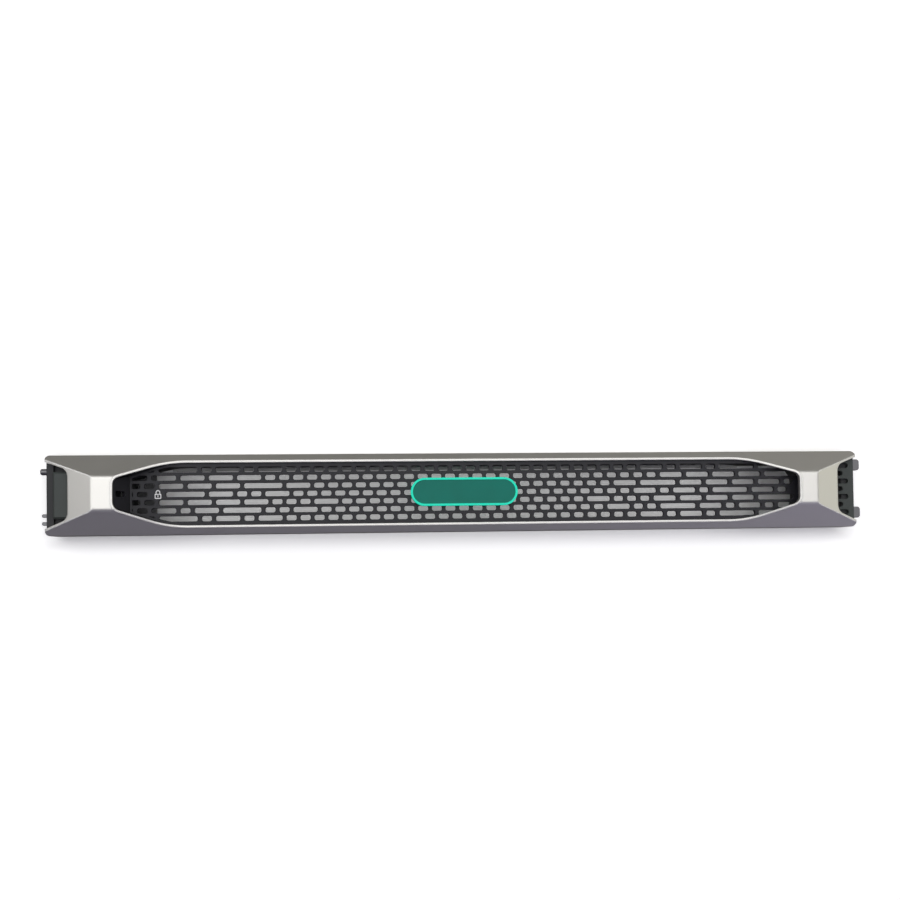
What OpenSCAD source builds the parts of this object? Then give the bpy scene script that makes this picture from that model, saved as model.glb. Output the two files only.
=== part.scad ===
// Front bezel for a 1U rack server.
//
// A silver moulded shell with an elongated hexagonal opening is screwed to a black inner frame.
// The frame carries a brick-slot grille with a badge, a sprung release latch with two hooks at
// the left end, and a slotted end panel with a fixed hook plate at the right end.
//
// X runs along the bezel, +Z is up and the front faces -Y. The origin is the middle of the rear
// face. Every sub-part is drawn face up, as x, height and depth, and upright() stands it up.
// The pieces of the left end are drawn at +X and mirrored.

/* [Shell] */
// Width from wing tip to wing tip
bezel_width = 441.4; // [436:0.2:446]
// Height, which leaves clearance in a 1U space
bezel_height = 42.6; // [42:0.1:43.6]
// Depth of the flat top and bottom, from the rear face to the slopes
skirt_depth = 14; // [13:0.5:18]
// How far the two necks stand in front of the skirt
neck_rise = 14; // [12:0.5:17]
// Flat width of each neck
neck_width = 10.5; // [9:0.1:12]
// Flat height of each neck
neck_height = 17.8; // [17:0.1:20]
// Distance of the ridges from the top and bottom at the wing tips
tip_drop = 2.55; // [2:0.05:3.2]
// Wall of the moulding
wall = 2.2; // [1.8:0.1:2.4]
// Radius of the wing tips, seen from the front
tip_radius = 1.8; // [1:0.1:3]
// Radius between a neck and the long slopes
neck_radius = 3; // [2.6:0.1:4]
// Radius of the screw bosses
boss_radius = 2.4; // [2.2:0.1:2.6]

/* [Opening] */
// Length of each end, from the wing tip to the hexagonal opening
end_length = 37.5; // [36:0.1:40]
// Height of the two long rails, from the opening to the top or bottom
rail_height = 4.7; // [4.5:0.05:5.2]
// Height of the opening at its two ends
opening_end_height = 15.5; // [14:0.1:16.5]
// Length of the opening's slanted sides, measured along the bezel
slant_length = 26.2; // [24:0.1:30]
// Radius where the straight part bends towards the ends
bend_radius = 60; // [40:1:70]
// Radius of the corners at the ends
end_radius = 4.5; // [3:0.1:6]
// Width of the bright lip around the opening
lip_width = 1.2; // [1:0.1:1.5]
// Width over which the foot of the lip merges with the slopes
lip_seam = 0.3; // [0.1:0.1:0.6]
// How far the lip stands proud of the slopes
lip_proud = 0.35; // [0.2:0.05:0.5]

/* [Finger cut-outs] */
// Length of each end cut-out, measured from the wing tip
cutout_length = 13.3; // [12:0.1:15]
// Radius of the cut-out's inner corners
cutout_radius = 5; // [3:0.1:6]
// Width of the arm left along each ridge
arm_width = 1; // [0.8:0.1:1.4]
// Width of the black strip at each outer end
strip_width = 3.6; // [3.2:0.1:4.2]
// Distance from the wing tip to the strip's outer side
strip_inset = 0.4; // [0.3:0.1:1]

/* [Grille] */
// Length of one slot unit with its rib
slot_pitch = 7.42; // [7.3:0.01:7.5]
// Distance between rows
row_pitch = 4.34; // [4.2:0.01:4.4]
// Height of a slot
slot_height = 2.8; // [2.4:0.1:3]
// Rib between two slots of a row
rib_width = 2; // [1.6:0.1:2.4]
// Radius of the slot corners
slot_radius = 1.1; // [0.8:0.1:1.2]
// Thickness of the grille plate
grille_thickness = 2; // [1.6:0.1:2.4]
// Depth of the grille's rim behind its plate
grille_rim = 2; // [1.6:0.1:2.4]
// How far the grille sits behind the lip
grille_set_back = 1.5; // [1.5:0.1:2]
// Bare band between the slots and the edge
grille_border = 1.4; // [1.2:0.1:1.8]
// Wall of the grille's rim
grille_wall = 1.4; // [1.2:0.1:1.6]
// How far the grille reaches under the right neck, where its last slots end
grille_reach = 6; // [5:0.1:6.4]

/* [Inner frame] */
// Wall of the frame's rim
rim_wall = 1.8; // [1.6:0.1:2]
// Thickness of the frame's web
web_thickness = 2; // [1.6:0.1:2.2]
// Gap between the rear face and the frame
rear_set_back = 0.6; // [0.4:0.1:1]
// Spacing of the stiffening ribs behind the web
rib_spacing = 38; // [30:1:50]
// Height of the top ledge's lower edge above the middle
ledge_height = 13.2; // [12.8:0.1:14]
// Thickness of the stiffening ribs
rib_thickness = 1.6; // [1.2:0.1:2]
// Depth of the stiffening ribs
rib_depth = 6; // [4:0.1:8]
// Thickness of the strip and the panel at the outer ends
panel_thickness = 1.9; // [1.6:0.1:2.2]

/* [Badge] */
// Length of the badge
badge_length = 58; // [50:0.5:62]
// Height of the badge
badge_height = 15.2; // [13:0.1:17]
// Thickness of the badge
badge_thickness = 2.6; // [2:0.1:3]
// Width of the badge's raised edge
badge_edge = 1.2; // [0.8:0.1:1.6]
// Height of the badge's raised edge
badge_rise = 0.5; // [0.3:0.05:0.8]
// Radius of the two badge pins
badge_pin_radius = 1.1; // [0.8:0.1:1.2]
// Length of the pins behind the grille plate
badge_pin_end = 2; // [1.5:0.1:2.4]
// Radius of the washers on the pins
nut_radius = 3.6; // [3:0.1:4]
// Thickness of the washers
nut_thickness = 0.6; // [0.4:0.1:0.8]

/* [Lock recess] */
// Slot that takes a cable lock
lock_slot_length = 7; // [6.5:0.1:7.2]
// Width of the cable lock slot
lock_slot_width = 3; // [2.8:0.1:3.4]
// Width of the sloping wall, seen from the front
lock_wall_run = 5.9; // [5:0.1:6.5]
// Thickness of the sloping wall
lock_wall = 1.6; // [1.4:0.1:2]
// Thickness of the steel plate behind the slot
lock_plate_thickness = 1.2; // [1:0.1:1.4]
// Thickness of the recess moulding's foot
lock_foot = 1.5; // [1.2:0.1:1.8]

/* [Release latch] */
// Travel of the latch towards the middle
latch_travel = 3; // [2.6:0.1:3.2]
// Wall of the latch housing beside the slider's head
housing_side = 1.2; // [1:0.1:1.8]
// Wall of the latch housing towards the opening, which takes two screws
housing_end = 7; // [6:0.1:8]
// Length of the housing's tongue, which backs the grille's outermost slots
housing_tongue = 18; // [14:0.5:20]
// Thickness of the latch housing's floor
housing_floor = 2; // [1.6:0.1:2.4]
// Thickness of the latch cover
cover_thickness = 1.2; // [1:0.1:1.4]
// Thickness of the latch slider
slider_thickness = 5.3; // [5:0.1:5.4]
// Length of the slider's wide head
slider_head = 5.4; // [5:0.1:5.8]
// How far the head stands out on each side of the slider's tail
slider_shoulder = 3; // [2.8:0.1:3.4]
// Gap above and below the push button, at the cut-out's inner end
button_gap = 0.5; // [0.3:0.05:0.8]
// Length of the push button
button_length = 12; // [11:0.1:12.4]
// Thickness of the push button
button_thickness = 2.4; // [2:0.1:2.6]
// Chamfer around the push button
button_chamfer = 0.9; // [0.5:0.1:1.2]
// How far the hooks stand out of the wing tips
hook_reach = 5.3; // [4:0.1:6]
// Radius of the upper hook pin
hook_pin_radius = 1.7; // [1.5:0.1:1.8]
// Distance of the upper hook pin from the top of the slider
hook_pin_inset = 2.2; // [2.1:0.05:2.8]
// Height of the forked hook
fork_width = 6.2; // [5.6:0.1:6.6]
// Throat between the prongs of the forked hook
fork_throat = 2.2; // [1.6:0.1:2.6]
// Height of each fixed hook
tab_width = 6.3; // [5:0.1:6.8]
// Thickness of the forked hook and the fixed hook plate
hook_plate = 1.6; // [1.4:0.1:1.8]
// Wire thickness of the two latch springs
spring_wire = 0.5; // [0.4:0.05:0.6]
// Outer radius of the two latch springs
spring_radius = 2; // [1.8:0.1:2.1]
// Wall of the slider beside each spring
spring_side = 1.7; // [1.4:0.1:2]

/* [Screws] */
// Radius of the screw shanks
screw_radius = 1.25; // [1.1:0.05:1.3]
// Radius of the screw heads
head_radius = 2.2; // [2:0.1:2.3]
// Height of the screw heads
head_height = 1.3; // [1:0.1:1.3]
// Length of the screw shanks
screw_length = 15; // [14:0.5:15.5]

/* [Fits] */
// Gap between pieces that are seated in each other
fit_gap = 0.2; // [0.1:0.05:0.25]
// Gap around pieces that slide
slide_gap = 0.3; // [0.25:0.05:0.4]
// Gap around a pin in its hole
pin_gap = 0.04; // [0.02:0.01:0.08]

/* [Hidden] */
$fn = 48;
half_width = bezel_width / 2;
half_height = bezel_height / 2;
half_opening = half_width - end_length;
straight_half = half_opening - slant_length;
opening_height = bezel_height - 2 * rail_height;
tip_height = bezel_height - 2 * tip_drop;
front_depth = skirt_depth + neck_rise;
neck_outer = half_opening + neck_width;
// Slopes: depth gained per millimetre of height, and per millimetre of length at the ends
rise_rate = neck_rise / (half_height - neck_height / 2);
tip_depth = skirt_depth + (half_height - tip_height / 2) * rise_rate;
end_rate = (front_depth - tip_depth) / (half_width - neck_outer);
ridge_rate = (tip_height - neck_height) / 2 / (half_width - neck_outer);
slope_drop = sqrt(1 + rise_rate * rise_rate);
end_drop = sqrt(1 + end_rate * end_rate);
// Depths of the layers, from the lip backwards
lip_base = slope_at(opening_height / 2 + lip_width);
grille_front = lip_base - grille_set_back + lip_proud;
grille_back = grille_front - grille_thickness;
web_front = grille_back - grille_rim;
web_back = web_front - web_thickness;
flange_front = lip_base - wall * slope_drop - fit_gap;
pad_front = web_front + panel_thickness;
// Widths inside the ends
strip_out = half_width - strip_inset;
strip_in = strip_out - strip_width;
cutout_x = half_width - cutout_length;
cutout_y = neck_height / 2 + (cutout_x - neck_outer) * ridge_rate
    - arm_width * sqrt(1 + ridge_rate * ridge_rate);
pad_y = half_height - 4.1;
rim_y = half_height - wall - fit_gap;
rim_x = half_width - wall - fit_gap;
bay_y = rim_y - rim_wall - fit_gap;
grille_inset = fit_gap + grille_wall;
// Height up to which the grille has room under the slopes
shelf_y = half_height - (grille_front + fit_gap + wall * slope_drop - skirt_depth) / rise_rate;
// Latch bay, from the opening outwards
housing_in = half_opening + 0.6;
block_in = half_opening + 4.3;
housing_out = rim_x - rim_wall - fit_gap;
cavity_in = housing_in + housing_end;
cavity_out = housing_out - 2;
slider_in = cavity_in + latch_travel + 1.5;
slider_out = cavity_out - 0.1;
shoulder_x = slider_out - slider_head - latch_travel - 2 * slide_gap;
head_y = bay_y - housing_side - slide_gap;
tail_y = head_y - slider_shoulder;
cover_front = web_back - housing_floor - slider_thickness - 2 * slide_gap;
cover_back = cover_front - cover_thickness;
slider_back = cover_front + slide_gap;
slider_front = slider_back + slider_thickness;
slider_mid = (slider_back + slider_front) / 2;
hook_pin_y = head_y - hook_pin_inset;
fork_top = head_y - fork_width;
hook_tip = half_width + hook_reach;
spring_y = tail_y - spring_side - slide_gap - spring_radius;
// Push button with its stem and its two pegs
button_back = pad_front + 0.4;
button_front = button_back + button_thickness;
button_out = strip_in - slide_gap;
button_in = button_out - button_length;
button_y = cutout_y - button_gap;
stem_out = slider_out - 1.3;
stem_in = stem_out - 7.6;
stem_y = tail_y - 3;
peg_radius = 1.5;
peg_x = (stem_in + stem_out) / 2;
peg_y = stem_y - 3.5;
pocket_x = stem_in - 1.4;
// Screw places of each end. The outer ones stay clear of the button's way.
screw_y = (tail_y + slide_gap + bay_y) / 2;
inner_screw = [block_in + 3, screw_y];
outer_screw = [button_in - latch_travel - slide_gap - boss_radius, screw_y];
// Lock recess: its sloping wall climbs from the grille to the lip
lock_foot_x = half_opening - lock_wall_run;
lock_top_x = half_opening - fit_gap;
lock_top = front_depth - 0.7;
lock_rate = (lock_top - grille_front) / (lock_top_x - lock_foot_x);
lock_angle = atan(lock_rate);
lock_length = (lock_top - grille_front) / sin(lock_angle);
lock_slot_place = 0.56 * lock_length;
lock_room = opening_end_height - 2 * lock_wall - 1.6;
lock_plate_top = (front_depth - wall - fit_gap - grille_front + lock_wall * cos(lock_angle))
    / sin(lock_angle);

// Slot rows from the top down: how far the row ends beyond the last whole unit, and its longer
// slots outwards, first to the right, then to the left. The run between them has single slots.
// A negative length is a bare place.
slot_units = round(half_opening / slot_pitch);
slot_rows = [
    [0, [2, 1, 2, 1, 3, 3], [2, 1, 2, 1, 3, 3]],
    [0.5, [2, 2, 2, 2, 3], [2, 2, 2, 2, 3]],
    [0, [2, 3, 2, 2, 2, 2, 1], [2, 3, 2, 2, 2, 1, 1]],
    [-0.5, [2, 1, 2, 1, 3, 2, 1], [2, 1, 1, 2, 3, -1, 1, 1]],
    [0, [2, 1, 1, 1, 2, 2, 2, 2, 3], [2, 1, 1, 1, 2, 2, 2, 2, 1, 1]],
    [0.5, [2, 1, 1, 3, 2, 1, 2, 1, 2], [2, 1, 1, 3, 2, 1, 2, 1, 2]],
    [0, [2, 1, 2, 1, 3, 3], [2, 1, 2, 1, 3, 3]]
];

silver = [0.62, 0.62, 0.60];
black = [0.10, 0.10, 0.11];
slate = [0.24, 0.26, 0.26];
teal = [0.05, 0.85, 0.72];
steel = [0.70, 0.71, 0.72];

// ---------- Shared geometry ----------

// Depth of the long slopes at a height
function slope_at(y) = skirt_depth + (half_height - y) * rise_rate;

// Height of the cut-outs' upper edge, which runs along the ridge
function edge_at(x) = cutout_y + (x - cutout_x) * ridge_rate;

// Points of a rounded corner between two edges, given the directions of their outward normals
function rounded(corner, from, to, radius, steps) =
    let (
        middle = (from + to) / 2,
        reach = radius / cos((to - from) / 2),
        centre = corner - reach * [cos(middle), sin(middle)]
    )
    [for (i = [0 : steps])
        let (a = from + (to - from) * i / steps)
        centre + radius * [cos(a), sin(a)]];

function mirrored_x(points) = [for (i = [len(points) - 1 : -1 : 0]) [-points[i].x, points[i].y]];

// Corner of an outline that has been moved outwards by grow
function moved(corner, from, to, grow) =
    let (middle = (from + to) / 2)
    corner + grow / cos((to - from) / 2) * [cos(middle), sin(middle)];

// Elongated hexagon with rounded corners, grown evenly all round
module hexagon(grow = 0) {
    side = atan2(slant_length, (opening_height - opening_end_height) / 2);
    bend = moved([straight_half, opening_height / 2], side, 90, grow);
    corner = moved([half_opening, opening_end_height / 2], 0, side, grow);
    quarter = concat(
        rounded(corner, 0, side, end_radius + grow, 5),
        rounded(bend, side, 90, bend_radius + grow, 6));
    upper = concat(quarter, mirrored_x(quarter));
    lower = [for (i = [len(upper) - 1 : -1 : 0]) [upper[i].x, -upper[i].y]];
    polygon(concat(upper, lower));
}

// Cross-section of the bezel as height and depth, moved inwards by inset
module section_profile(inset, base) {
    normal = 90 - atan(rise_rate);
    top = front_depth - inset;
    drop = inset * slope_drop;
    edge = half_height - inset;
    neck_y = half_height - (top + drop - skirt_depth) / rise_rate;
    right = concat(
        [[edge, base]],
        rounded([edge, skirt_depth + inset * rise_rate - drop], 0, normal, 0.6, 2),
        rounded([neck_y, top], normal, 90, max(neck_radius - inset, 0.4), 5));
    polygon(concat(right, mirrored_x(right)));
}

// Plan of the bezel as x and depth, moved inwards by inset
module plan_profile(inset, base) {
    normal = 90 - atan(end_rate);
    top = front_depth - inset;
    drop = inset * end_drop;
    edge = half_width - inset;
    neck_x = neck_outer + (inset - drop) / end_rate;
    right = concat(
        [[edge, base]],
        rounded([edge, front_depth - drop - (edge - neck_outer) * end_rate], 0, normal, 0.8, 2),
        rounded([neck_x, top], normal, 90, 4, 3));
    polygon(concat(right, mirrored_x(right)));
}

module rounded_rect(length, height, radius) {
    square([length - 2 * radius, height], center = true);
    square([length, height - 2 * radius], center = true);
    for (x = [-1, 1], y = [-1, 1])
        translate([x * (length / 2 - radius), y * (height / 2 - radius)])
            circle(radius);
}

// A sloped body between the rear and the front, moved inwards by inset
module sloped_body(inset, base = 0) {
    intersection() {
        rotate([90, 0, 90])
            linear_extrude(bezel_width + 20, center = true)
                section_profile(inset, base);
        rotate([90, 0, 0])
            linear_extrude(bezel_height + 20, center = true)
                plan_profile(inset, base);
    }
}

module slab(from, to) {
    translate([0, 0, from])
        linear_extrude(to - from)
            children();
}

module block(x0, x1, y0, y1, z0, z1) {
    translate([x0, y0, z0])
        cube([x1 - x0, y1 - y0, z1 - z0]);
}

module upright() {
    rotate([90, 0, 0])
        children();
}

module left_end() {
    mirror([1, 0, 0])
        children();
}

module both_ends() {
    children();
    mirror([1, 0, 0])
        children();
}

// Places its children above and below the middle
module up_and_down(y) {
    for (side = [-1, 1])
        translate([0, side * y, 0])
            children();
}

// Places its children at the four screws of one end, given the offset of each row
module at_end_screws() {
    for (place = [inner_screw, outer_screw], side = [-1, 1])
        translate([place.x, side * place.y, 0])
            children();
}

// ---------- Shell ----------

// Everything below the lip's bright face, which runs level across the lip's width. Along the
// slanted sides the face climbs with the slopes, and it eases in over the bend.
module lip_body() {
    along = atan2((opening_height - opening_end_height) / 2, slant_length);
    gain = rise_rate * sin(along);
    ease = bend_radius * tan(along / 2);
    level = lip_base + lip_proud;
    top = front_depth + lip_proud;
    climb = [for (i = [4 : -1 : 0])
        let (run = ease * i / 2)
        [run - ease, level + gain * run * run / (4 * ease)]];
    intersection() {
        for (flip_x = [0, 1], flip_y = [0, 1])
            mirror([flip_x, 0, 0])
                mirror([0, flip_y, 0])
                    intersection() {
                        block(0, half_width, 0, half_height, 0, top);
                        translate([straight_half, opening_height / 2 + lip_width, 0])
                            rotate([0, 0, -along])
                                rotate([90, 0, 0])
                                    linear_extrude(160, center = true)
                                        polygon(concat(
                                            [[-bezel_width, 0], [half_width, 0], [half_width, top],
                                                [(top - level) / gain, top]],
                                            climb,
                                            [[-bezel_width, level]]));
                    }
        slab(0, front_depth + 2)
            hexagon(lip_width);
    }
}

module end_cutout() {
    flare = 90 + atan(ridge_rate);
    far = half_width + 4;
    slab(-1, front_depth + 2)
        polygon(concat(
            [[far, -edge_at(far)], [far, edge_at(far)]],
            rounded([cutout_x, cutout_y], flare, 180, cutout_radius, 6),
            rounded([cutout_x, -cutout_y], 180, 360 - flare, cutout_radius, 6)));
}

module outer_shell() {
    color(silver)
    upright()
        difference() {
            union() {
                difference() {
                    shell_outside();
                    sloped_body(wall, -1);
                    slab(-1, front_depth + 3)
                        hexagon();
                    both_ends()
                        end_cutout();
                }
                shell_bosses();
            }
            shell_pilots();
        }
}

module shell_outside() {
    difference() {
        intersection() {
            sloped_body(0);
            slab(0, front_depth + 2)
                rounded_rect(bezel_width, bezel_height, tip_radius);
        }
        slab(0, front_depth + 2)
            hexagon(lip_width - lip_seam);
    }
    lip_body();
}

// Screw bosses under the slopes. The left inner pair is shorter, for the recess moulding's foot.
module shell_bosses() {
    intersection() {
        sloped_body(wall / 2);
        for (end = [-1, 1], place = [inner_screw, outer_screw], side = [-1, 1])
            translate([end * place.x, side * place.y, boss_start(end, place)])
                cylinder(h = front_depth, r = boss_radius);
    }
}

// Bores for the screws, whose heads stand on the cover at the left and on the block at the right
module shell_pilots() {
    for (end = [-1, 1], place = [inner_screw, outer_screw], side = [-1, 1]) {
        start = boss_start(end, place) - 1;
        stop = (end < 0 ? cover_back : cover_front) + screw_length + 0.5;
        translate([end * place.x, side * place.y, start])
            cylinder(h = stop - start, r = screw_radius + pin_gap);
    }
}

function boss_start(end, place) = web_front + (end < 0 && place == inner_screw ? lock_foot : 0);

// ---------- Inner frame ----------

module rim_outline(inset = 0) {
    rounded_rect(2 * (rim_x - inset), 2 * (rim_y - inset), 1);
}

// Outline of the grille. It fills the opening, reaches under the neck at the right end, and stops
// short at the left end, where the lock recess takes over.
module grille_outline(inset) {
    stop = lock_foot_x - inset;
    intersection() {
        union() {
            hexagon(-inset);
            intersection() {
                hexagon(grille_reach - inset);
                translate([0, -shelf_y + inset])
                    square([half_width, 2 * (shelf_y - inset)]);
            }
        }
        translate([-stop, -half_height])
            square([stop + half_width, bezel_height]);
    }
}

module inner_frame() {
    color(black)
    upright() {
        difference() {
            union() {
                frame_web();
                frame_rim();
                frame_collar();
                frame_ribs();
                end_pads();
            }
            frame_cuts();
        }
    }
}

module frame_web() {
    slab(web_back, web_front)
        difference() {
            rim_outline();
            grille_outline(grille_inset);
        }
}

module frame_rim() {
    slab(rear_set_back, web_front)
        difference() {
            rim_outline();
            rim_outline(rim_wall);
        }
}

// Wall that closes the space between the web and the inside of the shell. It follows the lip
// along the rails and the slanted sides, and stands farther out behind the right neck.
module frame_collar() {
    intersection() {
        sloped_body(wall + fit_gap);
        slab(web_front - 0.5, front_depth) {
            difference() {
                collar_ring(lip_width);
                translate([-half_width, -half_height])
                    square([half_width - lock_foot_x, bezel_height]);
                translate([straight_half + 1, -shelf_y])
                    square([half_width, 2 * shelf_y]);
            }
            intersection() {
                collar_ring(grille_reach + fit_gap);
                translate([straight_half + 1, -shelf_y])
                    square([half_width, 2 * shelf_y]);
            }
        }
    }
}

module collar_ring(grow) {
    difference() {
        hexagon(grow + 1.4);
        hexagon(grow);
    }
}

// Ribs behind the web, from the window's edge to the rim, and a ledge along the top
module frame_ribs() {
    back = web_back - rib_depth;
    rise = (rim_y - opening_height / 2) / 2;
    count = floor(straight_half / rib_spacing);
    slab(back, web_back)
        difference() {
            grille_outline(-fit_gap);
            grille_outline(grille_inset);
        }
    for (i = [-count : count])
        up_and_down(rim_y - rise)
            translate([i * rib_spacing, 0, 0])
                block(-rib_thickness / 2, rib_thickness / 2, -rise, rise, back, web_back);
    block(-straight_half, straight_half, ledge_height, rim_y - 1, back - rib_thickness, back);
}

// Black strips that close both ends of the frame
module end_pads() {
    left_end()
        slab(rear_set_back, pad_front)
            pad_outline(strip_in);
    slab(rear_set_back, web_front)
        pad_outline(strip_in);
}

// Outline that runs behind the arms, and between them where it passes the shell's side wall
module pad_outline(from) {
    translate([from, -pad_y])
        square([rim_x - from, 2 * pad_y]);
    polygon([
        [rim_x - 1, -edge_at(rim_x - 1) + fit_gap], [strip_out, -edge_at(strip_out) + fit_gap],
        [strip_out, edge_at(strip_out) - fit_gap], [rim_x - 1, edge_at(rim_x - 1) - fit_gap]]);
}

module frame_cuts() {
    left_end() {
        latch_window(web_back - 1, web_front + 1);
        translate([strip_in - 3, hook_pin_y, slider_mid])
            rotate([0, 90, 0])
                cylinder(h = strip_width + 6, r = hook_pin_radius + 2 * slide_gap);
        block(strip_in - 3, strip_out + 1, -head_y - slide_gap, -fork_top + slide_gap,
            slider_back - slide_gap, slider_back + hook_plate + slide_gap);
    }
    air_window(web_back - 1, web_front + 1);
    for (tab = fixed_tabs)
        block(rim_x - rim_wall - 1, strip_out + 1, tab[0] - slide_gap, tab[1] + slide_gap,
            hooks_back - slide_gap, web_back);
    both_ends()
        at_end_screws()
            translate([0, 0, web_back - 1])
                cylinder(h = web_thickness + 2, r = screw_radius + fit_gap);
}

// Way for the button's stem through the web and the housing
module latch_window(from, to) {
    block(stem_in - latch_travel - slide_gap, stem_out + slide_gap,
        -stem_y - slide_gap, stem_y + slide_gap, from, to);
}

// Window behind the end panel's slots
module air_window(from, to) {
    block(shoulder_x + 0.8, housing_out - 2.4, -tail_y + 1, tail_y - 1, from, to);
}

// ---------- Grille ----------

function sum_to(list, count) = count == 0 ? 0 : abs(list[count - 1]) + sum_to(list, count - 1);

module slot_at(start, units) {
    translate([(start + units / 2) * slot_pitch, 0])
        rounded_rect(units * slot_pitch - rib_width, slot_height, slot_radius);
}

module slot_row(row) {
    run = slot_units + row[0] - sum_to(row[1], len(row[1]));
    for (k = [-run : run - 1])
        slot_at(k, 1);
    for (i = [0 : len(row[1]) - 1])
        slot_at(run + sum_to(row[1], i), row[1][i]);
    mirror([1, 0])
        for (i = [0 : len(row[2]) - 1])
            if (row[2][i] > 0)
                slot_at(run + sum_to(row[2], i), row[2][i]);
}

module slots() {
    intersection() {
        for (i = [0 : len(slot_rows) - 1])
            translate([0, ((len(slot_rows) - 1) / 2 - i) * row_pitch])
                slot_row(slot_rows[i]);
        grille_outline(grille_border);
    }
}

module grille() {
    color(black)
    upright() {
        slab(grille_back, grille_front)
            difference() {
                grille_outline(fit_gap);
                slots();
            }
        slab(web_front, grille_back)
            difference() {
                grille_outline(fit_gap);
                grille_outline(grille_inset);
            }
        // Flange that is clamped under the lip
        slab(web_front, flange_front)
            difference() {
                hexagon(lip_width - fit_gap);
                grille_outline(fit_gap + grille_wall / 2);
                translate([-half_width, -half_height])
                    square([half_width - lock_foot_x + fit_gap, bezel_height]);
            }
    }
}

// ---------- Badge ----------

badge_pin_x = 3 * slot_pitch;

module badge() {
    color(teal)
    upright() {
        difference() {
            slab(grille_front, grille_front + badge_thickness)
                pill(badge_length, badge_height);
            slab(grille_front + badge_thickness - badge_rise, grille_front + badge_thickness + 1)
                pill(badge_length - 2 * badge_edge, badge_height - 2 * badge_edge);
        }
        both_ends()
            translate([badge_pin_x, 0, grille_back - badge_pin_end])
                cylinder(h = badge_pin_end + grille_thickness + badge_thickness / 2,
                    r = badge_pin_radius);
    }
}

module pill(length, height) {
    square([length - height, height], center = true);
    for (side = [-1, 1])
        translate([side * (length - height) / 2, 0])
            circle(height / 2);
}

// Push-on washers that hold the badge's pins behind the grille
module badge_nuts() {
    color(steel)
    upright() {
        both_ends()
            translate([badge_pin_x, 0, grille_back - nut_thickness])
                difference() {
                    cylinder(h = nut_thickness, r = nut_radius);
                    translate([0, 0, -1])
                        cylinder(h = 3, r = badge_pin_radius + pin_gap);
                }
    }
}

// ---------- Lock recess at the left end ----------

// Space under the recess's slope, moved inwards by inset
module recess_space(inset, base) {
    shift = inset / sin(lock_angle);
    far = lock_top_x + 6;
    intersection() {
        rotate([90, 0, 0])
            linear_extrude(bezel_height, center = true)
                polygon([
                    [lock_foot_x + shift, base], [far, base], [far, lock_top],
                    [lock_top_x + shift, lock_top], [lock_foot_x + shift, grille_front]]);
        slab(base, lock_top)
            recess_plan(inset);
    }
}

// The recess's outline. Its hollow is open towards the neck, so that a lock has room there.
module recess_plan(inset) {
    hexagon(-fit_gap - inset);
    if (inset > 0)
        translate([lock_foot_x + inset, -lock_room / 2])
            square([lock_wall_run + 6, lock_room]);
}

// Turns its children so that Z is the slope's inward normal and X runs up the slope
module on_recess_slope() {
    translate([lock_foot_x, 0, grille_front])
        rotate([0, -lock_angle, 0])
            mirror([0, 0, 1])
                children();
}

module lock_slot(gap = 0) {
    translate([lock_slot_place, 0, -1])
        linear_extrude(8)
            rounded_rect(lock_slot_length + 2 * gap, lock_slot_width + 2 * gap, 0.8);
}

module lock_recess() {
    color(black)
    upright() {
        left_end() {
            difference() {
                union() {
                    recess_space(0, web_front);
                    slab(web_front, web_front + lock_foot)
                        recess_foot();
                }
                recess_space(lock_wall, web_front - 1);
                on_recess_slope()
                    lock_slot();
                at_recess_screws()
                    translate([0, 0, web_front - 1])
                        cylinder(h = lock_foot + 2, r = screw_radius + fit_gap);
            }
        }
    }
}

module recess_foot() {
    translate([lock_foot_x + 1, -screw_y - boss_radius])
        square([inner_screw.x + boss_radius - lock_foot_x - 1, 2 * (screw_y + boss_radius)]);
}

module at_recess_screws() {
    up_and_down(inner_screw.y)
        translate([inner_screw.x, 0, 0])
            children();
}

// Steel plate that takes the load of a cable lock
module lock_plate() {
    color(steel)
    upright() {
        left_end()
            on_recess_slope()
                difference() {
                    block(lock_slot_place - lock_slot_length / 2 - 1.2, lock_plate_top,
                        -lock_room / 2 + 0.1, lock_room / 2 - 0.1,
                        lock_wall, lock_wall + lock_plate_thickness);
                    lock_slot(0.1);
                }
    }
}

// ---------- Release latch at the left end ----------

// Outline of the space that the slider moves in
module slider_bay(gap) {
    translate([shoulder_x - gap, -head_y - gap])
        square([cavity_out - shoulder_x + gap, 2 * head_y + 2 * gap]);
    translate([cavity_in, -tail_y - gap])
        square([shoulder_x - cavity_in + 1, 2 * tail_y + 2 * gap]);
}

module latch_housing() {
    color(black)
    upright() {
        left_end() {
            difference() {
                union() {
                    block(housing_in, housing_out, -bay_y, bay_y, cover_front, web_back);
                    block(housing_in - housing_tongue, housing_in, -bay_y, bay_y,
                        cover_front, web_back - rib_depth - slide_gap);
                }
                slab(cover_front - 1, web_back - housing_floor)
                    slider_bay(slide_gap);
                latch_window(web_back - housing_floor - 1, web_back + 1);
                translate([cavity_out - 1, hook_pin_y, slider_mid])
                    rotate([0, 90, 0])
                        cylinder(h = 6, r = hook_pin_radius + slide_gap);
                block(cavity_out - 1, housing_out + 1, -head_y - slide_gap,
                    -fork_top + slide_gap, cover_front - 1,
                    slider_back + hook_plate + slide_gap);
                at_end_screws()
                    translate([0, 0, cover_front - 1])
                        cylinder(h = web_back - cover_front + 2, r = screw_radius + fit_gap);
            }
            // Spigots that centre the springs
            up_and_down(spring_y)
                translate([cavity_in - 0.5, 0, slider_mid])
                    rotate([0, 90, 0])
                        cylinder(h = 3.5, r = spring_radius - spring_wire - 0.4);
        }
    }
}

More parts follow.
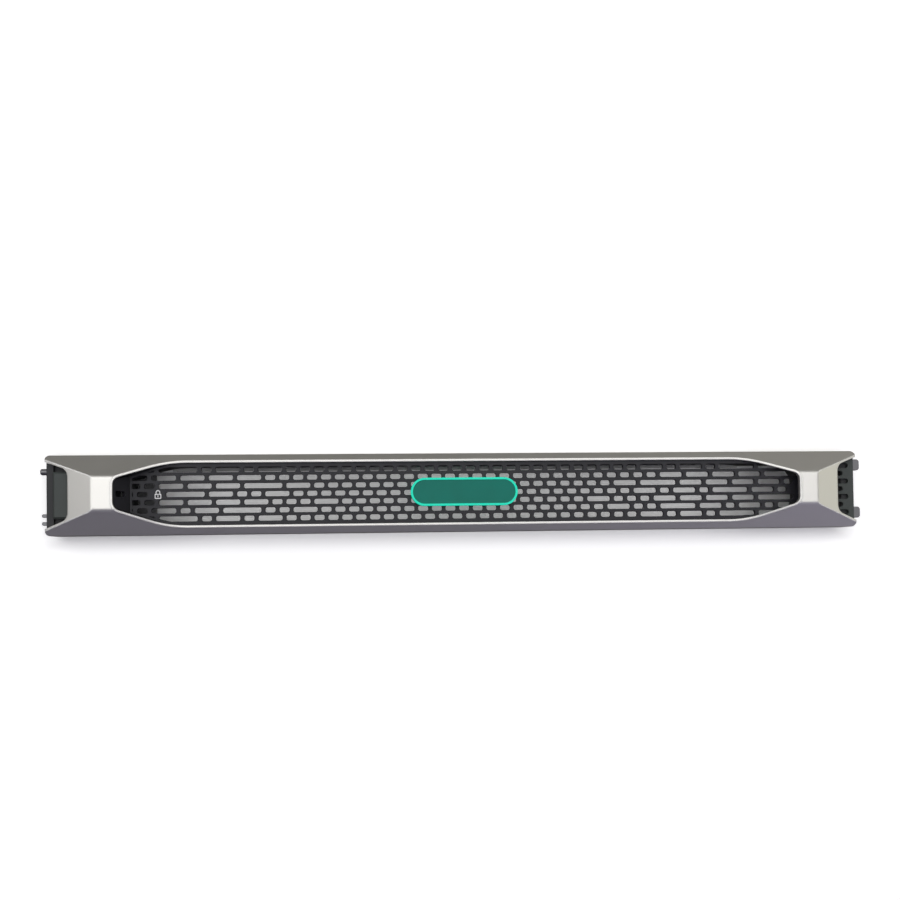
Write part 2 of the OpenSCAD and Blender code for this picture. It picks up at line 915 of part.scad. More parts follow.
module latch_cover() {
    color(steel)
    upright() {
        left_end()
            difference() {
                slab(cover_back, cover_front)
                    translate([(housing_in + housing_out) / 2, 0])
                        rounded_rect(housing_out - housing_in, 2 * bay_y, 1.5);
                at_end_screws()
                    translate([0, 0, cover_back - 1])
                        cylinder(h = cover_thickness + 2, r = screw_radius + fit_gap);
            }
    }
}

module latch_slider() {
    color(black)
    upright() {
        left_end()
            difference() {
                slab(slider_back, slider_front)
                    slider_outline();
                spring_pockets();
                // Bores for the button's two pegs
                up_and_down(peg_y)
                    translate([peg_x, 0, slider_front - 4.2])
                        cylinder(h = 5, r = peg_radius + pin_gap);
                // Bore for the upper hook pin
                translate([slider_out - 4.4, hook_pin_y, slider_mid])
                    rotate([0, 90, 0])
                        cylinder(h = 6, r = hook_pin_radius + pin_gap);
                // Seat of the forked hook and its rivets
                block(fork_root - fit_gap, slider_out + 1, -head_y - 1, -fork_top + fit_gap,
                    slider_back - 1, slider_back + hook_plate);
                for (place = rivet_places)
                    translate([place.x, place.y, slider_back - 1])
                        cylinder(h = slider_thickness + 2, r = rivet_radius + pin_gap);
                // Relief that lightens the tail
                block(slider_in + 2, stem_in - 3, -spring_y + spring_radius + 1.8,
                    spring_y - spring_radius - 1.8, slider_back - 1, slider_front - 1.6);
            }
    }
}

module slider_outline() {
    translate([slider_out - slider_head, -head_y])
        square([slider_head, 2 * head_y]);
    translate([slider_in, -tail_y])
        square([slider_out - slider_in - 1, 2 * tail_y]);
}

module spring_pockets() {
    up_and_down(spring_y)
        block(slider_in - 1, pocket_x, -spring_radius - slide_gap, spring_radius + slide_gap,
            slider_back - 1, slider_mid + spring_radius + slide_gap);
}

module latch_button() {
    color(slate)
    upright() {
        left_end() {
            intersection() {
                rotate([90, 0, 0])
                    linear_extrude(2 * button_y, center = true)
                        polygon(chamfered(button_in, button_out));
                rotate([90, 0, 90])
                    linear_extrude(half_width)
                        polygon(chamfered(-button_y, button_y));
            }
            block(stem_in, stem_out, -stem_y, stem_y, slider_front, button_back + 0.5);
            up_and_down(peg_y)
                translate([peg_x, 0, slider_front - 4])
                    cylinder(h = 5, r = peg_radius);
        }
    }
}

// Section of the button's plate, with both front edges chamfered
function chamfered(from, to) = [
    [from, button_back], [to, button_back], [to, button_front - button_chamfer],
    [to - button_chamfer, button_front], [from + button_chamfer, button_front],
    [from, button_front - button_chamfer]];

module upper_hook_pin() {
    root = slider_out - 4.2;
    color(steel)
    upright() {
        left_end()
            translate([root, hook_pin_y, slider_mid])
                rotate([0, 90, 0]) {
                    cylinder(h = hook_tip - 0.5 - root, r = hook_pin_radius);
                    translate([0, 0, hook_tip - 0.5 - root])
                        cylinder(h = 0.5, r1 = hook_pin_radius, r2 = hook_pin_radius - 0.5);
                }
    }
}

fork_root = slider_out - 4.6;
prong_radius = (fork_width - fork_throat) / 4;
rivet_radius = 0.7;
rivet_places = [[slider_out - 2.4, -fork_top - 1.5], [slider_out - 2.4, -head_y + 1.6]];

// Forked hook: two prongs with a throat between them
module lower_hook() {
    color(steel)
    upright() {
        left_end()
            slab(slider_back, slider_back + hook_plate)
                difference() {
                    union() {
                        translate([fork_root, -head_y])
                            square([hook_tip - prong_radius - fork_root, fork_width]);
                        for (y = [-fork_top - prong_radius, -head_y + prong_radius])
                            translate([hook_tip - prong_radius, y])
                                circle(prong_radius);
                    }
                    translate([slider_out + 1.2, -(head_y + fork_top + fork_throat) / 2])
                        square([12, fork_throat]);
                    for (place = rivet_places)
                        translate(place)
                            circle(rivet_radius + pin_gap);
                }
    }
}

module hook_rivets() {
    color(steel)
    upright() {
        left_end()
            for (place = rivet_places)
                translate([place.x, place.y, slider_back]) {
                    cylinder(h = slider_thickness, r = rivet_radius);
                    translate([0, 0, slider_thickness])
                        cylinder(h = 0.25, r = 1.2);
                }
    }
}

// Points around one ring of the spring's wire, at a turn of the coil
function coil_point(turn, spin) =
    let (r = spring_radius - spring_wire / 2 + spring_wire / 2 * cos(spin))
    [r * cos(360 * turn), r * sin(360 * turn), coil_rise(turn) + spring_wire / 2 * sin(spin)];

coil_turns = 8;
coil_length = pocket_x - cavity_in;

// The end turns lie closed, and the turns between them are evenly spaced
function coil_rise(turn) =
    let (
        closed = spring_wire * 1.08,
        open = (coil_length - spring_wire - 2 * closed) / (coil_turns - 2)
    )
    spring_wire / 2
    + closed * min(turn, 1)
    + open * max(0, min(turn - 1, coil_turns - 2))
    + closed * max(0, turn - coil_turns + 1);

module coil_spring() {
    sides = 8;
    rings = coil_turns * 16;
    points = [for (i = [0 : rings], j = [0 : sides - 1])
        coil_point(i / 16, 360 * j / sides)];
    walls = [for (i = [0 : rings - 1], j = [0 : sides - 1])
        let (next = (j + 1) % sides)
        [i * sides + j, i * sides + next, (i + 1) * sides + next, (i + 1) * sides + j]];
    ends = [[for (j = [sides - 1 : -1 : 0]) j],
        [for (j = [0 : sides - 1]) rings * sides + j]];
    polyhedron(points, concat(walls, ends));
}

module latch_spring(side) {
    color(steel)
    upright() {
        left_end()
            translate([cavity_in, side * spring_y, slider_mid])
                rotate([0, 90, 0])
                    coil_spring();
    }
}

module upper_spring() {
    latch_spring(1);
}

module lower_spring() {
    latch_spring(-1);
}

// ---------- Right end ----------

// Lower and upper end of each fixed hook
fixed_tabs = [[bay_y - tab_width, bay_y], [0.7 - bay_y, 0.7 - bay_y + tab_width]];
hooks_back = web_back - hook_plate;

// Slotted panel in the right cut-out. Its slots line up with the grille's rows, long and short.
module end_panel() {
    near = cutout_x - 2.2;
    color(slate)
    upright() {
        slab(web_front, pad_front)
            difference() {
                pad_outline(near);
                for (i = [-3 : 3]) {
                    end = strip_in + (i % 2 == 0 ? -2.6 : 0.6);
                    translate([near + 1.2, i * row_pitch - slot_height / 2])
                        square([end - near - 1.2 - slot_height / 2, slot_height]);
                    translate([end - slot_height / 2, i * row_pitch])
                        circle(slot_height / 2);
                }
            }
    }
}

// Ribbed block that stiffens the right end and carries the hook plate
module end_block() {
    color(black)
    upright() {
        difference() {
            block(block_in, housing_out, -bay_y, bay_y, cover_front, hooks_back);
            block(block_in - 1, block_in + 4, -tail_y, tail_y, cover_front - 1, web_back);
            for (cell = [-1, 1])
                block(block_in + 5.6, shoulder_x - 1.6, cell > 0 ? 0.8 : -tail_y,
                    cell > 0 ? tail_y : -0.8, cover_front - 1, hooks_back - housing_floor);
            air_window(cover_front - 1, web_back);
            at_end_screws()
                translate([0, 0, cover_front - 1])
                    cylinder(h = web_back, r = screw_radius + fit_gap);
        }
    }
}

// Steel plate between the block and the web, with two rounded tabs that catch in the rack post
module fixed_hooks() {
    tip = hook_tip - 0.2;
    color(steel)
    upright() {
        difference() {
            slab(hooks_back, web_back) {
                translate([(block_in + housing_out) / 2, 0])
                    rounded_rect(housing_out - block_in, 2 * bay_y, 1.5);
                for (tab = fixed_tabs)
                    translate([(housing_out - 8 + tip) / 2, (tab[0] + tab[1]) / 2])
                        rounded_rect(tip - housing_out + 8, tab[1] - tab[0], 1.6);
            }
            air_window(hooks_back - 1, web_back + 1);
            block(block_in - 1, block_in + 4, -tail_y, tail_y, hooks_back - 1, web_back + 1);
            at_end_screws()
                translate([0, 0, hooks_back - 1])
                    cylinder(h = web_back, r = screw_radius + fit_gap);
        }
    }
}

// ---------- Screws ----------

// Pan-head screw with a cross recess, its head seated at the given depth
module screw(seat, depth) {
    translate([0, 0, seat - head_height])
        difference() {
            cylinder(h = head_height, r = head_radius);
            translate([0, 0, depth / 2 - 0.5])
                for (turn = [0, 90])
                    rotate([0, 0, turn])
                        cube([2.6, 0.6, depth + 1], center = true);
        }
    translate([0, 0, seat - 0.1])
        cylinder(h = screw_length + 0.1, r = screw_radius);
}

module left_screws() {
    color(steel)
    upright()
        left_end()
            at_end_screws()
                screw(cover_back, 0.7);
}

module right_screws() {
    color(steel)
    upright()
        at_end_screws()
            screw(cover_front, 0.7);
}

outer_shell();
inner_frame();
grille();
badge();
badge_nuts();
lock_recess();
lock_plate();
latch_housing();
latch_cover();
latch_slider();
latch_button();
upper_hook_pin();
lower_hook();
hook_rivets();
upper_spring();
lower_spring();
left_screws();
end_panel();
end_block();
fixed_hooks();
right_screws();
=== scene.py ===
import math

import bpy
from mathutils import Matrix, Vector


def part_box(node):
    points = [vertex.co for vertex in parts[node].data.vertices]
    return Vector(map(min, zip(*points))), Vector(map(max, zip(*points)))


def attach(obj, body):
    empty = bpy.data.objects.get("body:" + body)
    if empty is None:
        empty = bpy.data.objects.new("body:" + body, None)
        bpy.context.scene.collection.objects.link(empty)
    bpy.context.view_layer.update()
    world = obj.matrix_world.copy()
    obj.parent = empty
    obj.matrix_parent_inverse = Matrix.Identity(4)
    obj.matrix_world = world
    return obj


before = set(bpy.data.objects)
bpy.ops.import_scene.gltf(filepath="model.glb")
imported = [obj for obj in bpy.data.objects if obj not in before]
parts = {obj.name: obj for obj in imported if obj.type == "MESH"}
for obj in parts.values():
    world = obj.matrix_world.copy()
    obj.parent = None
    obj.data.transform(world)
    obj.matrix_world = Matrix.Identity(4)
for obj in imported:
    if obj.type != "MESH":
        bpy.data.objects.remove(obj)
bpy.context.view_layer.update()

# ---------- Outer shell ----------
# A single ABS moulding, sprayed with a warm silver paint that holds fine metal flakes. It is
# screwed to the inner frame from behind, through eight bosses under its slopes.


def fill(made, **values):
    """Feeds a node's named sockets, each from another socket or with a plain value."""
    for name, value in values.items():
        socket = made.inputs[name.replace("_", " ")]
        if isinstance(value, bpy.types.NodeSocket):
            made.id_data.links.new(value, socket)
        else:
            socket.default_value = value


def node(tree, kind, settings=None, **values):
    """A node with its settings, and with its named sockets fed."""
    made = tree.nodes.new(kind)
    for key, setting in (settings or {}).items():
        setattr(made, key, setting)
    fill(made, **values)
    return made


def maths(tree, operation, *terms, clamp=False):
    """The outcome of a sum, product or the like. Each term is a socket or a number."""
    made = node(tree, "ShaderNodeMath", {"operation": operation, "use_clamp": clamp})
    for socket, term in zip(made.inputs, terms):
        if isinstance(term, bpy.types.NodeSocket):
            tree.links.new(term, socket)
        else:
            socket.default_value = term
    return made.outputs[0]


def ramp(tree, source, start=0.0, end=1.0, low=0.0, high=1.0):
    """A value that runs from low to high while its source runs from start to end."""
    made = node(
        tree, "ShaderNodeMapRange", Value=source, From_Min=start, From_Max=end,
        To_Min=low, To_Max=high,
    )
    return made.outputs["Result"]


def value_group(name, inputs, outputs):
    """A shader node group with named sockets. Inputs give a socket type and a default."""
    group = bpy.data.node_groups.new(name, "ShaderNodeTree")
    for socket, (kind, default) in inputs.items():
        made = group.interface.new_socket(socket, in_out="INPUT", socket_type=kind)
        made.default_value = default
    for socket, kind in outputs.items():
        group.interface.new_socket(socket, in_out="OUTPUT", socket_type=kind)
    return group, group.nodes.new("NodeGroupInput"), group.nodes.new("NodeGroupOutput")


def grain_group():
    """Fine moulded or sprayed grain, with a slow drift of colour and gloss across a piece."""
    group, given, result = value_group(
        "Surface grain",
        {
            "Colour": ("NodeSocketColor", (0.5, 0.5, 0.5, 1)),
            "Drift": ("NodeSocketFloat", 0.1),
            "Roughness": ("NodeSocketFloat", 0.4),
            "Gloss drift": ("NodeSocketFloat", 0.05),
            "Grain scale": ("NodeSocketFloat", 2500.0),
            "Patch scale": ("NodeSocketFloat", 60.0),
        },
        {
            "Colour": "NodeSocketColor",
            "Roughness": "NodeSocketFloat",
            "Height": "NodeSocketFloat",
        },
    )
    place = node(group, "ShaderNodeTexCoord").outputs["Object"]
    fine, patch = (
        node(
            group, "ShaderNodeTexNoise", Detail=detail, Vector=place, Scale=given.outputs[scale]
        ).outputs["Fac"]
        for detail, scale in ((3.0, "Grain scale"), (4.0, "Patch scale"))
    )
    # Colour times 1 + drift * (patch - 0.5)
    swing = maths(group, "SUBTRACT", patch, 0.5)
    amount = maths(group, "MULTIPLY_ADD", swing, given.outputs["Drift"], 1.0)
    tint = node(
        group, "ShaderNodeVectorMath", {"operation": "SCALE"},
        Vector=given.outputs["Colour"], Scale=amount,
    )
    # Roughness plus gloss drift * (patch + grain - 1)
    centred = maths(group, "SUBTRACT", maths(group, "ADD", patch, fine), 1.0)
    gloss = maths(
        group, "MULTIPLY_ADD", centred, given.outputs["Gloss drift"],
        given.outputs["Roughness"], clamp=True,
    )
    fill(result, Colour=tint.outputs[0], Roughness=gloss, Height=fine)
    return group


surface_grain = grain_group()


def grained_material(name, colour, drift, roughness, gloss_drift, grain, relief, edge, **more):
    """A material with grain and softened edges. Grain, relief and edge are in millimetres.

    What else the finish has, such as a coat, is given by the names of the shader's sockets.
    """
    material = bpy.data.materials.new(name)
    material.use_nodes = True
    tree = material.node_tree
    source = node(
        tree, "ShaderNodeGroup", {"node_tree": surface_grain}, Colour=(*colour, 1), Drift=drift,
        Roughness=roughness, Gloss_drift=gloss_drift, Grain_scale=1000 / grain,
    )
    rounding = node(tree, "ShaderNodeBevel", {"samples": 4}, Radius=edge / 1000)
    bump = node(
        tree, "ShaderNodeBump", Strength=1.0, Distance=relief / 1000,
        Height=source.outputs["Height"], Normal=rounding.outputs["Normal"],
    )
    fill(
        tree.nodes["Principled BSDF"], Base_Color=source.outputs["Colour"],
        Roughness=source.outputs["Roughness"], Normal=bump.outputs["Normal"], **more,
    )
    return material


def dress(material, *names):
    """Gives CAD solids their finish."""
    for name in names:
        parts[name].data.materials.clear()
        parts[name].data.materials.append(material)


# Cosines between which a ridge's painted highlight begins and is full: of its lean, and of its
# facing the front
RIDGE_LEAN = 0.992, 0.955
RIDGE_FACING = -0.72, -0.82
RIDGE_HIGHLIGHT_COLOUR = 0.98, 0.98, 0.96, 1
RIDGE_HIGHLIGHT_GLOW = 0.12
METAL_SHARE = 0.85


def paint_ridge_highlights(material):
    """Along the ridges that face the front, a painted highlight: lighter, less metallic paint that
    glows.
    """
    tree = material.node_tree
    shader = tree.nodes["Principled BSDF"]
    softened = next(n for n in tree.nodes if n.bl_idname == "ShaderNodeBevel").outputs["Normal"]
    surface = node(tree, "ShaderNodeNewGeometry")
    # How far the softened normal leans away from the face's own, and how much it faces the front
    lean = node(tree, "ShaderNodeVectorMath", {"operation": "DOT_PRODUCT"}, Vector=softened)
    tree.links.new(surface.outputs["True Normal"], lean.inputs[1])
    axes = node(tree, "ShaderNodeSeparateXYZ", Vector=softened)
    ridge = maths(
        tree, "MULTIPLY",
        ramp(tree, lean.outputs["Value"], *RIDGE_LEAN),
        ramp(tree, axes.outputs["Y"], *RIDGE_FACING),
    )
    paint = shader.inputs["Base Color"].links[0].from_socket
    # Painted highlight: near-white paint with no metal and a faint glow, along the front-facing
    # ridges
    highlighted = node(
        tree, "ShaderNodeMix", {"data_type": "RGBA"}, Factor=ridge, A=paint, B=RIDGE_HIGHLIGHT_COLOUR
    )
    fill(
        shader, Base_Color=highlighted.outputs["Result"],
        Metallic=ramp(tree, ridge, low=METAL_SHARE, high=0.0),
        Emission_Color=(1, 1, 1, 1), Emission_Strength=ramp(tree, ridge, high=RIDGE_HIGHLIGHT_GLOW),
    )


silver = grained_material(
    "Silver paint", (0.74, 0.73, 0.7), drift=0.05, roughness=0.34, gloss_drift=0.06,
    grain=0.35, relief=0.004, edge=0.95, Coat_Weight=0.15, Coat_Roughness=0.3,
)
paint_ridge_highlights(silver)
dress(silver, "outer_shell")

# ---------- Inner frame, latch housing and slider, end block ----------
# Glass-filled plastic with a spark-eroded grain, black, and dark grey for the housing. The frame
# is one moulding with its web, rim and end strips, and the housing and the block are screwed to it.

LEDGE_FOOT = 0.0131
LEDGE_FACE = -0.0052, -0.0044
FACES_FRONT = -0.9

black = grained_material(
    "Black plastic", (0.04, 0.041, 0.043), drift=0.25, roughness=0.5, gloss_drift=0.12,
    grain=0.45, relief=0.012, edge=0.3, Specular_IOR_Level=0.25,
)
dress(black, "inner_frame", "end_block", "latch_slider")

grey = grained_material(
    "Grey plastic", (0.12, 0.12, 0.125), drift=0.25, roughness=0.5, gloss_drift=0.12,
    grain=0.45, relief=0.012, edge=0.3, Specular_IOR_Level=0.25,
)
dress(grey, "latch_housing")


def face_with(material, name, chosen):
    """Another finish for a solid's front faces whose corners are all chosen."""
    mesh = parts[name].data
    mesh.materials.append(material)
    for polygon in mesh.polygons:
        corners = (mesh.vertices[i].co for i in polygon.vertices)
        if polygon.normal.y < FACES_FRONT and all(chosen(corner) for corner in corners):
            polygon.material_index = 1


# The face of the ledge that lies behind the top row of slots is pale
pale = grained_material(
    "Pale facing", (0.62, 0.62, 0.62), drift=0.3, roughness=0.8, gloss_drift=0.1,
    grain=0.6, relief=0.02, edge=0.1,
)
face_with(
    pale, "inner_frame",
    lambda corner: corner.z > LEDGE_FOOT and LEDGE_FACE[0] < corner.y < LEDGE_FACE[1],
)

# ---------- Grille and lock recess ----------
# Satin black mouldings. The grille is one plate with seven rows of brick slots, clamped by its rim
# between the frame and the shell's lip, and the recess lines the slot for a cable lock.

grille_black = grained_material(
    "Grille black", (0.022, 0.022, 0.027), drift=0.2, roughness=0.45, gloss_drift=0.1,
    grain=0.4, relief=0.006, edge=0.25, Specular_IOR_Level=0.3,
)
dress(grille_black, "grille", "lock_recess")

# ---------- Push button and end panel ----------
# Dark grey-green moulded plastic, a little lighter than the frame. The button's pegs sit in the
# slider, and the panel lies on the frame's web at the right end.

slate = grained_material(
    "Slate plastic", (0.06, 0.07, 0.066), drift=0.2, roughness=0.45, gloss_drift=0.1,
    grain=0.4, relief=0.008, edge=0.3, Specular_IOR_Level=0.3,
)
dress(slate, "latch_button", "end_panel")

# ---------- Badge ----------
# A teal pill, moulded in one colour and held by two pins. Its sunk field is etched, so it looks
# darker than the glossy rim.

FIELD_DEPTH = 0.0001

# Painted light: the teal glows faintly through its emission, on the rim and sides of the badge
teal = grained_material(
    "Teal plastic", (0.001, 0.85, 0.58), drift=0.06, roughness=0.25, gloss_drift=0.06,
    grain=0.6, relief=0.002, edge=0.3, Specular_IOR_Level=0.3,
    Emission_Color=(0.0, 1.0, 0.62, 1), Emission_Strength=0.12,
)
etched = grained_material(
    "Etched teal", (0.004, 0.2, 0.15), drift=0.3, roughness=0.6, gloss_drift=0.1,
    grain=0.25, relief=0.02, edge=0.1, Specular_IOR_Level=0.3,
)
dress(teal, "badge")
badge_front = min(vertex.co.y for vertex in parts["badge"].data.vertices)
face_with(etched, "badge", lambda corner: corner.y > badge_front + FIELD_DEPTH)

# ---------- Steel pieces ----------
# Zinc-plated cover, screws, springs, washers and lock plate, and dark phosphated hooks. The
# cover, the washers and the plate are pressed from sheet, and the springs are wound from wire.

zinc = grained_material(
    "Zinc plate", (0.8, 0.81, 0.82), drift=0.2, roughness=0.32, gloss_drift=0.16,
    grain=0.8, relief=0.004, edge=0.15, Metallic=1.0,
)
dress(zinc, "badge_nuts", "lock_plate", "latch_cover", "hook_rivets", "upper_spring",
      "lower_spring", "left_screws", "right_screws")

phosphate = grained_material(
    "Dark steel", (0.2, 0.2, 0.21), drift=0.3, roughness=0.42, gloss_drift=0.14,
    grain=0.5, relief=0.006, edge=0.25, Metallic=0.9,
)
dress(phosphate, "upper_hook_pin", "lower_hook", "fixed_hooks")

# ---------- Padlock sign ----------
# A plain padlock, pad-printed in pale grey on the grille's bare place beside the lock recess.
# It says that a cable lock fits the slot at this end.

GRILLE_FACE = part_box("grille")[0].y
# The sign lies this many slots of the grille left of the middle
SLOT_PITCH = 0.00742
SIGN_X = -21.9 * SLOT_PITCH
SIGN_BODY = 0.0034, 0.0026
SIGN_HEIGHT = 0.0046
BODY_LINE = 0.00045
BODY_CORNER, FIELD_CORNER = 0.0004, 0.0002
SHACKLE_RADII = 0.0012, 0.0007
KEYHOLE_RADIUS = 0.0003
KEYHOLE_RISE = 0.0002
KEYHOLE_FOOT = 0.0002, 0.0005
PRINT_THICKNESS = 0.00002


def arc(centre, radius, start, end, steps):
    """Points along an arc, with its angles in degrees."""
    points = []
    for step in range(steps + 1):
        angle = math.radians(start + (end - start) * step / steps)
        points.append((centre[0] + radius * math.cos(angle), centre[1] + radius * math.sin(angle)))
    return points


def rounded_outline(centre, width, height, radius):
    """Outline of a rectangle with round corners."""
    points = []
    for turn, (side, level) in enumerate(((1, 1), (-1, 1), (-1, -1), (1, -1))):
        across = centre[0] + side * (width / 2 - radius)
        up = centre[1] + level * (height / 2 - radius)
        points += arc((across, up), radius, 90 * turn, 90 * turn + 90, 6)
    return points


def padlock_outlines():
    """The body as a frame round a keyhole, and a shackle whose legs end on the body."""
    width, height = SIGN_BODY
    centre = 0, (height - SIGN_HEIGHT) / 2
    body = rounded_outline(centre, width, height, BODY_CORNER)
    field = rounded_outline(
        centre, width - 2 * BODY_LINE, height - 2 * BODY_LINE, FIELD_CORNER
    )
    keyhole = arc((0, centre[1] + KEYHOLE_RISE), KEYHOLE_RADIUS, -60, 240, 14)
    keyhole += [(side * KEYHOLE_FOOT[0], centre[1] - KEYHOLE_FOOT[1]) for side in (-1, 1)]
    outer, inner = SHACKLE_RADII
    shoulder = height - SIGN_HEIGHT / 2
    bow = 0, SIGN_HEIGHT / 2 - outer
    shackle = [(outer, shoulder)] + arc(bow, outer, 0, 180, 16) + [(-outer, shoulder)]
    shackle += [(-inner, shoulder)] + arc(bow, inner, 180, 0, 16) + [(inner, shoulder)]
    return (body, field, keyhole), (shackle,)


def printed_sign(name, outlines):
    """A filled outline, as thin as a coat of ink, that faces the front."""
    curve = bpy.data.curves.new(name, "CURVE")
    curve.dimensions = "2D"
    curve.fill_mode = "BOTH"
    curve.extrude = PRINT_THICKNESS / 2
    for outline in outlines:
        spline = curve.splines.new("POLY")
        spline.points.add(len(outline) - 1)
        for point, (x, y) in zip(spline.points, outline):
            point.co = (x, y, 0, 1)
        spline.use_cyclic_u = True
    drawn = bpy.data.objects.new(name + "_outline", curve)
    bpy.context.scene.collection.objects.link(drawn)
    bpy.context.view_layer.update()
    mesh = bpy.data.meshes.new_from_object(drawn)
    bpy.data.objects.remove(drawn)
    mesh.transform(Matrix.Rotation(math.radians(90), 4, "X"))
    mesh.transform(Matrix.Translation((SIGN_X, GRILLE_FACE - PRINT_THICKNESS / 2, 0)))
    sign = bpy.data.objects.new(name, mesh)
    bpy.context.scene.collection.objects.link(sign)
    return sign


ink = grained_material(
    "Pale ink", (0.9, 0.9, 0.9), drift=0.1, roughness=0.5, gloss_drift=0.1,
    grain=0.3, relief=0.002, edge=0.05,
)
for name, outlines in zip(("padlock_body", "padlock_shackle"), padlock_outlines()):
    sign = printed_sign(name, outlines)
    sign.data.materials.append(ink)
    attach(sign, "bezel")

# ---------- Studio ----------
# The bezel stands close in front of a pale sweep, which shows shaded through its slots. The view
# meets the sweep white and glowing, a painted light, but the paint mirrors it dim, warm above and
# cool below, a painted reflection. Softboxes light the front, the right end and the back, and a
# weak world fills in.

FLOOR_LEVEL = -0.2
BACKDROP_PLACE = 0.0025
BACKDROP_TOP = 1.4
SWEEP_RADIUS = 0.12
SHEET_HALF_WIDTH = 2.0
FLOOR_NEAR = -2.0
REAR_NEAR, REAR_FAR = -0.125, 2.6
# The floor behind the backdrop lies this much lower, and its far edge turns up twice as much
REAR_STEP = 0.001

# The sheet's painted glow around the bezel, and behind its middle and its ends, where its fading is
# a painted shade of the bezel's ends. It changes between these distances from the middle, towards
# the ends, past the ends and past the long sides
GLOW_AROUND = 0.5
GLOW_BEHIND = 0.21, 0.02
TOWARDS_END = 0.13, 0.17
PAST_END = 0.205, 0.23
PAST_SIDE = 0.017, 0.03

# Painted reflection: what other rays than the view's meet, cool by the floor, warm above, and
# lighter to the right
DIM_LOW = 0.2, 0.19, 0.27, 1
DIM_HIGH = 0.18, 0.175, 0.16, 1
RIGHT_EDGE = 0.28
RIGHT_LIFT = 1.8
# Heights over the floor between which the sheet starts to let light pass from behind
PASSING_FROM = 0.004, 0.01
# Strength of the world as a light, and as the view meets it
ROOM_STRENGTH = 0.24, 0.95


def sweep(name, near, far, level, top, radius):
    """Floor that curves up into a backdrop, as one sheet that faces the camera."""
    profile = [(near, level)]
    profile += arc((far - radius, level + radius), radius, -90, 0, 15)
    profile.append((far, top))
    points = [(side * SHEET_HALF_WIDTH, y, z) for y, z in profile for side in (-1, 1)]
    faces = [(2 * i, 2 * i + 1, 2 * i + 3, 2 * i + 2) for i in range(len(profile) - 1)]
    mesh = bpy.data.meshes.new(name)
    mesh.from_pydata(points, [], faces)
    for polygon in mesh.polygons:
        polygon.use_smooth = True
    made = bpy.data.objects.new(name, mesh)
    bpy.context.scene.collection.objects.link(made)
    return made


def mixed(tree, share, first, second):
    """A mix of two shaders, by the share of the second."""
    made = node(tree, "ShaderNodeMixShader", Fac=share)
    tree.links.new(first, made.inputs[1])
    tree.links.new(second, made.inputs[2])
    return made.outputs["Shader"]


def sweep_material():
    """White and glowing to the view, a painted light, and dim to other rays, a painted reflection.
    From behind it is clear.
    """
    material = bpy.data.materials.new("Pale sweep")
    material.use_nodes = True
    tree = material.node_tree
    place = node(tree, "ShaderNodeNewGeometry")
    axes = node(tree, "ShaderNodeSeparateXYZ", Vector=place.outputs["Position"])
    path = node(tree, "ShaderNodeLightPath")

    along = maths(tree, "ABSOLUTE", axes.outputs["X"])
    across = maths(tree, "ABSOLUTE", axes.outputs["Z"])
    # Painted light: the sheet glows most past the bezel's ends and long sides
    around = maths(
        tree, "MAXIMUM", ramp(tree, along, *PAST_END), ramp(tree, across, *PAST_SIDE)
    )
    # Painted shade: behind the bezel's ends the sheet's glow fades almost to nothing
    behind = ramp(tree, along, *TOWARDS_END, *GLOW_BEHIND)
    white = tree.nodes["Principled BSDF"]
    fill(
        white, Base_Color=(0.9, 0.9, 0.9, 1), Roughness=0.9, Specular_IOR_Level=0.1,
        Emission_Color=(1, 1, 1, 1),
        Emission_Strength=ramp(tree, around, low=behind, high=GLOW_AROUND),
    )

    # Painted reflection: a dim, tinted copy of the sheet, which only rays other than the view's
    # meet
    tint = node(
        tree, "ShaderNodeMix", {"data_type": "RGBA"}, A=DIM_LOW, B=DIM_HIGH,
        Factor=ramp(tree, axes.outputs["Z"], FLOOR_LEVEL, 0.0),
    )
    brighter = node(
        tree, "ShaderNodeVectorMath", {"operation": "SCALE"}, Vector=tint.outputs["Result"],
        Scale=ramp(tree, axes.outputs["X"], 0.0, RIGHT_EDGE, 1.0, RIGHT_LIFT),
    )
    dim = node(tree, "ShaderNodeBsdfDiffuse", Color=brighter.outputs[0])

    # Light from behind passes the upright part, and so reaches the back of the bezel
    upright = ramp(tree, axes.outputs["Z"], *(FLOOR_LEVEL + rise for rise in PASSING_FROM))
    passing = maths(tree, "MULTIPLY", upright, path.outputs["Is Shadow Ray"])
    open_side = maths(tree, "MAXIMUM", passing, place.outputs["Backfacing"])
    clear = node(tree, "ShaderNodeBsdfTransparent")

    seen = mixed(tree, path.outputs["Is Camera Ray"], dim.outputs["BSDF"], white.outputs["BSDF"])
    choice = mixed(tree, open_side, seen, clear.outputs["BSDF"])
    fill(tree.nodes["Material Output"], Surface=choice)
    return material


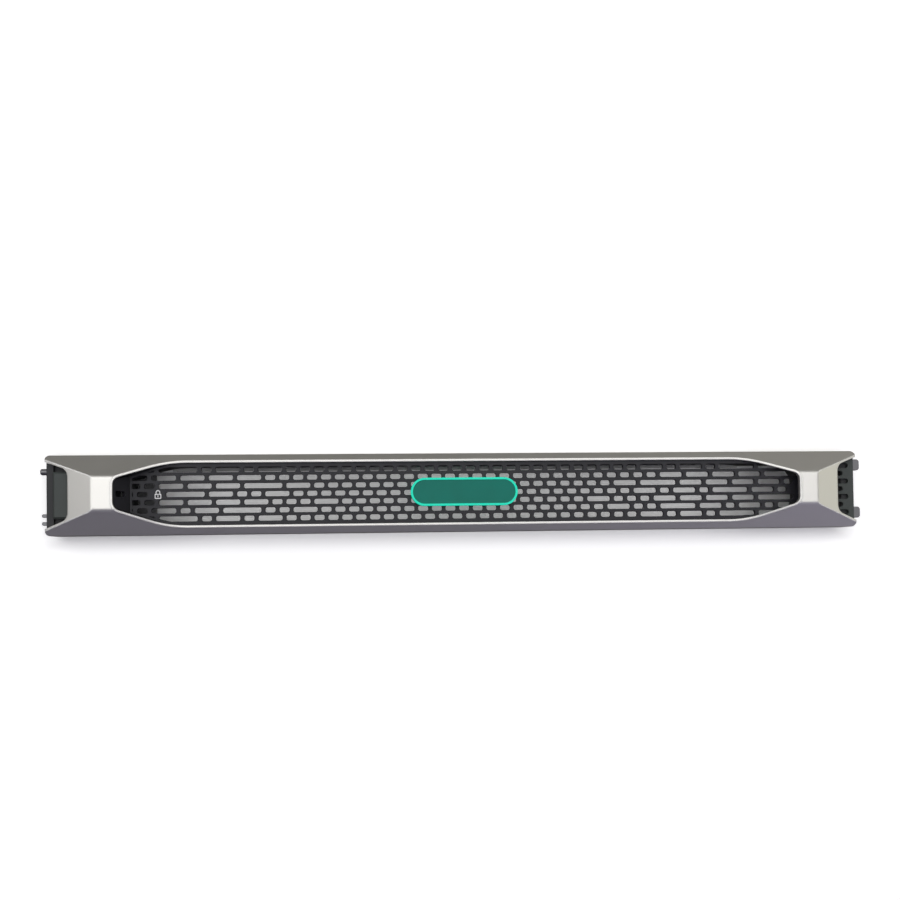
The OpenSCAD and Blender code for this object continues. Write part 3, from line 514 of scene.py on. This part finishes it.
floor = sweep("floor", FLOOR_NEAR, BACKDROP_PLACE, FLOOR_LEVEL, BACKDROP_TOP, SWEEP_RADIUS)
rear_floor = sweep(
    "rear_floor", REAR_NEAR, REAR_FAR, FLOOR_LEVEL - REAR_STEP, FLOOR_LEVEL + REAR_STEP, REAR_STEP
)
paper = sweep_material()
for sheet in (floor, rear_floor):
    sheet.data.materials.append(paper)


def softbox(name, place, width, height, power, target=(0, 0, 0), colour=(1, 1, 1)):
    """A rectangular area light that faces a target."""
    light = bpy.data.lights.new(name, "AREA")
    light.shape = "RECTANGLE"
    light.size, light.size_y = width, height
    light.energy = power
    light.color = colour
    lamp = bpy.data.objects.new(name, light)
    lamp.location = place
    lamp.rotation_euler = (Vector(target) - Vector(place)).to_track_quat("-Z", "Y").to_euler()
    bpy.context.scene.collection.objects.link(lamp)


softbox("front_box", (-0.25, -1.2, 0.1), 2.7, 2.0, 23.5)
softbox("right_box", (0.95, -0.3, 0), 0.6, 1.4, 1.5, target=(0.2, 0, 0), colour=(1, 1, 0.84))
softbox("rear_box", (0.25, 1.3, 0.45), 2.0, 1.0, 16)

world = bpy.data.worlds.new("Soft room")
world.use_nodes = True
room = world.node_tree
met = node(room, "ShaderNodeLightPath")
fill(
    room.nodes["Background"], Color=(1.0, 0.98, 0.93, 1),
    Strength=ramp(room, met.outputs["Is Camera Ray"], 0.0, 1.0, *ROOM_STRENGTH),
)
bpy.context.scene.world = world

# ---------- Camera ----------
# It stands half a metre in front of the bezel, left of its middle and a little below it, and
# looks slightly up and to the right. Its lens is shifted, so that the bezel sits lower.

lens = bpy.data.cameras.new("camera")
lens.lens = 39.24
lens.sensor_width = 36
lens.shift_y = 0.0966
lens.clip_start = 0.01
camera = bpy.data.objects.new("camera", lens)
camera.matrix_world = (
    Matrix.Translation((-0.05169, -0.54537, -0.0363))
    @ Matrix.Rotation(math.radians(-4.725), 4, "Z")
    @ Matrix.Rotation(math.radians(91.287), 4, "X")
    @ Matrix.Rotation(math.radians(-0.832), 4, "Z")
)
bpy.context.scene.collection.objects.link(camera)
bpy.context.scene.camera = camera
bpy.context.scene.view_settings.view_transform = "Standard"
